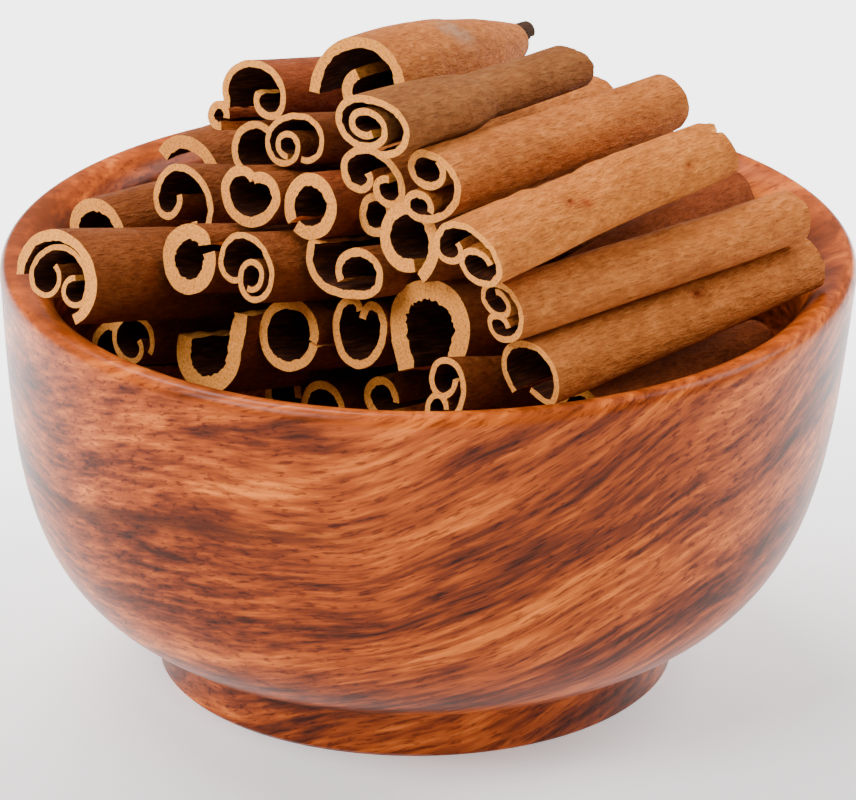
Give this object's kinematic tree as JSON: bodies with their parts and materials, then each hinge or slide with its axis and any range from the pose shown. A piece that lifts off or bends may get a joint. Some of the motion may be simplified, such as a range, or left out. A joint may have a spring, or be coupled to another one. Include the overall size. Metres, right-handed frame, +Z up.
{
  "type": "bowl of cinnamon sticks",
  "caption": "Stack of curled cinnamon bark sticks lying side by side in a round footed wooden bowl, their cut scrolled ends showing.",
  "frame": {"origin": "centre of the bowl's foot, on the plane it stands on", "axes": "+Z up along the bowl's axis; the cut ends on show face -X and -Y, and the sticks run towards +X and +Y"},
  "size_m": [0.18, 0.18, 0.1476],
  "materials": {
    "acacia_wood": "oiled reddish-brown acacia, satin",
    "bark_tan": "dried cinnamon bark, matt tan brown",
    "bark_red": "dried cinnamon bark, matt reddish brown",
    "bark_olive": "dried cinnamon bark, matt olive brown"
  },
  "bodies": {
    "root": {"bowl": "acacia_wood", "stick_right_1": "bark_tan", "stick_right_2": "bark_olive", "stick_right_3": "bark_tan", "stick_right_4": "bark_tan", "stick_right_5": "bark_tan", "stick_right_6": "bark_red", "stick_right_7": "bark_tan", "stick_right_8": "bark_tan", "stick_right_9": "bark_red", "stick_left_1": "bark_tan", "stick_left_2": "bark_tan", "stick_left_3": "bark_tan", "stick_left_4": "bark_tan", "stick_left_5": "bark_tan", "stick_left_6": "bark_red", "stick_left_7": "bark_tan", "stick_left_8": "bark_tan", "stick_left_9": "bark_tan", "stick_left_10": "bark_tan", "stick_left_11": "bark_tan", "stick_left_12": "bark_tan", "stick_left_13": "bark_tan", "stick_left_14": "bark_tan", "stick_left_15": "bark_tan", "stick_left_16": "bark_tan", "stick_left_17": "bark_red", "stick_left_18": "bark_tan", "stick_left_19": "bark_red", "stick_left_20": "bark_red", "stick_left_21": "bark_tan", "stick_left_22": "bark_red", "stick_deep_1": "bark_tan", "stick_deep_2": "bark_tan", "stick_deep_3": "bark_red", "stick_deep_4": "bark_red", "stick_deep_5": "bark_tan", "stick_left_1_strip": "bark_tan", "stick_low_1": "bark_tan", "stick_low_2": "bark_tan", "stick_low_3": "bark_tan", "stick_low_4": "bark_tan", "stick_low_5": "bark_tan", "stick_low_6": "bark_tan", "stick_low_7": "bark_tan", "stick_low_8": "bark_tan", "stick_low_9": "bark_tan", "stick_low_10": "bark_tan", "stick_low_11": "bark_tan", "stick_low_12": "bark_tan", "stick_low_13": "bark_tan", "stick_low_14": "bark_tan", "stick_low_15": "bark_tan", "stick_low_16": "bark_tan", "stick_low_17": "bark_tan"}
  },
  "joints": []
}
